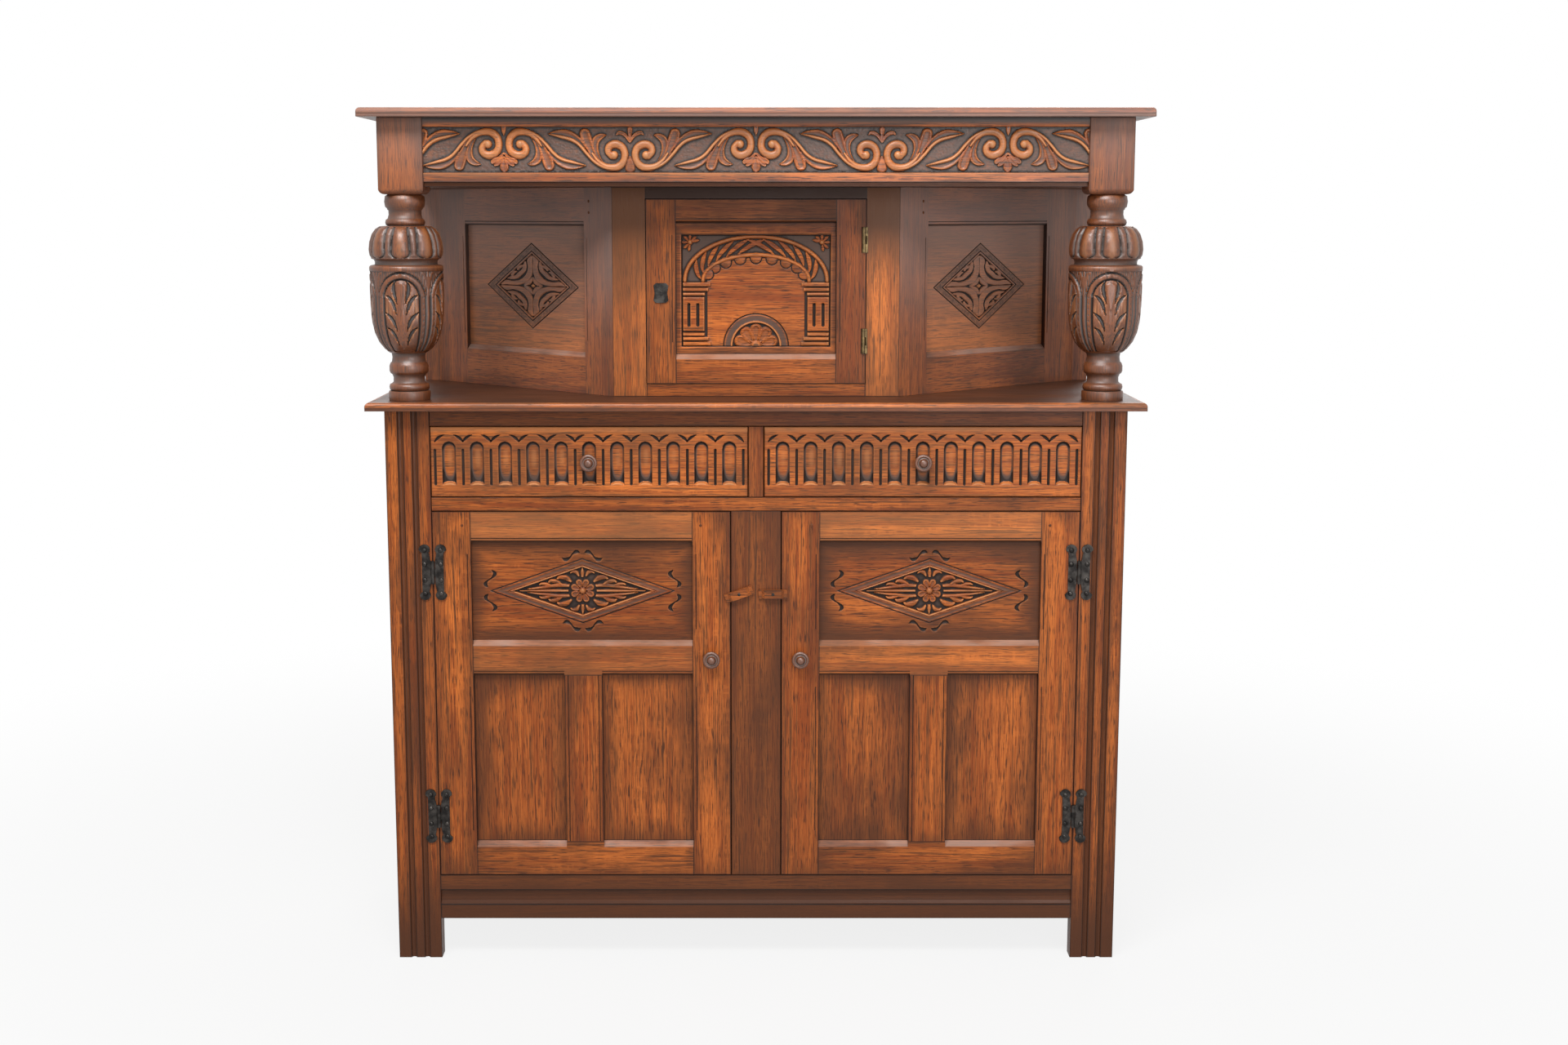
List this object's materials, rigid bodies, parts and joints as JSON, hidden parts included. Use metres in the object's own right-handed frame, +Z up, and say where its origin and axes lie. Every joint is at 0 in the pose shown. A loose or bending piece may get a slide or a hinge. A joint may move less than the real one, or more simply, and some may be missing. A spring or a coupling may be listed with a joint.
{
  "type": "court cupboard",
  "caption": "Oak court cupboard with a carved canopy on turned posts, a recessed upper cupboard with canted wings, frieze drawers and a panelled cupboard below.",
  "frame": {"origin": "on the floor under the middle of the cupboard", "axes": "+Z up, front towards -Y, +X to the right of someone facing the front"},
  "size_m": [1.22, 0.457, 1.366],
  "materials": {
    "oak": "waxed and polished",
    "oak_carved": "carved and waxed",
    "oak_side": "dark stain",
    "oak_inside": "bare planed oak",
    "iron": "blackened",
    "brass": "aged",
    "steel": "plain"
  },
  "bodies": {
    "case": {"back_lower": "oak_inside", "back_upper": "oak_inside", "bottom_rail": "oak", "case_floor": "oak_inside", "centre_stile": "oak", "cornice_board": "oak", "door_left_hinge_bottom_fixed": "iron", "door_left_hinge_top_fixed": "iron", "door_right_hinge_bottom_fixed": "iron", "door_right_hinge_top_fixed": "iron", "drawer_deck": "oak_inside", "drawer_divider": "oak", "drawer_rail": "oak", "frieze_front": "oak", "frieze_left": "oak", "frieze_right": "oak", "front_stile_left": "oak", "front_stile_right": "oak", "main_board": "oak", "post_left": "oak", "post_right": "oak", "rear_stile_left": "oak_side", "rear_stile_right": "oak_side", "side_left": "oak_side", "side_right": "oak_side", "soffit_board": "oak_side", "surround_frame": "oak", "top_rail": "oak", "upper_hinge_bottom_fixed": "brass", "upper_hinge_top_fixed": "brass", "wing_frame_left": "oak", "wing_frame_right": "oak", "wing_panel_left": "oak_carved", "wing_panel_right": "oak_carved"},
    "drawer_left": {"drawer_left_front": "oak_carved", "drawer_left_box": "oak_inside", "drawer_left_knob": "oak"},
    "door_left": {"door_left_frame": "oak", "door_left_panel_upper": "oak_carved", "door_left_panel_lower": "oak_carved", "door_left_knob": "oak", "door_left_hinge_top_moving": "iron", "door_left_hinge_bottom_moving": "iron"},
    "turn_button_left": {"turn_button_left": "oak"},
    "drawer_right": {"drawer_right_front": "oak_carved", "drawer_right_box": "oak_inside", "drawer_right_knob": "oak"},
    "door_right": {"door_right_frame": "oak", "door_right_panel_upper": "oak_carved", "door_right_panel_lower": "oak_carved", "door_right_knob": "oak", "door_right_hinge_top_moving": "iron", "door_right_hinge_bottom_moving": "iron"},
    "turn_button_right": {"turn_button_right": "oak"},
    "upper_door": {"upper_door_frame": "oak", "upper_door_panel": "oak_carved", "upper_door_escutcheon": "iron", "upper_hinge_top_moving": "brass", "upper_hinge_bottom_moving": "brass"},
    "lock_bolt": {"upper_lock_bolt": "steel"}
  },
  "joints": [
    {"name": "drawer_left_slide", "type": "slide", "parent": "case", "child": "drawer_left", "axis": [0, -1, 0], "range_m": [0, 0.26]},
    {"name": "door_left_hinge", "type": "hinge", "parent": "case", "child": "door_left", "pos_m": [-0.5135, -0.206, 0.44], "axis": [0, 0, -1], "range_deg": [0, 165]},
    {"name": "turn_button_left_pivot", "type": "hinge", "parent": "case", "child": "turn_button_left", "pos_m": [-0.027, -0.2028, 0.607], "axis": [0, -1, 0], "range_deg": [-110, 70]},
    {"name": "drawer_right_slide", "type": "slide", "parent": "case", "child": "drawer_right", "axis": [0, -1, 0], "range_m": [0, 0.26]},
    {"name": "door_right_hinge", "type": "hinge", "parent": "case", "child": "door_right", "pos_m": [0.5135, -0.206, 0.44], "axis": [0, 0, 1], "range_deg": [0, 165]},
    {"name": "turn_button_right_pivot", "type": "hinge", "parent": "case", "child": "turn_button_right", "pos_m": [0.027, -0.2028, 0.607], "axis": [0, -1, 0], "range_deg": [-90, 90]},
    {"name": "upper_door_hinge", "type": "hinge", "parent": "case", "child": "upper_door", "pos_m": [0.1719, -0.1175, 1.08], "axis": [0, 0, 1], "range_deg": [0, 150]},
    {"name": "lock_bolt_throw", "type": "slide", "parent": "upper_door", "child": "lock_bolt", "axis": [-1, 0, 0], "range_m": [0, 0.008]}
  ]
}
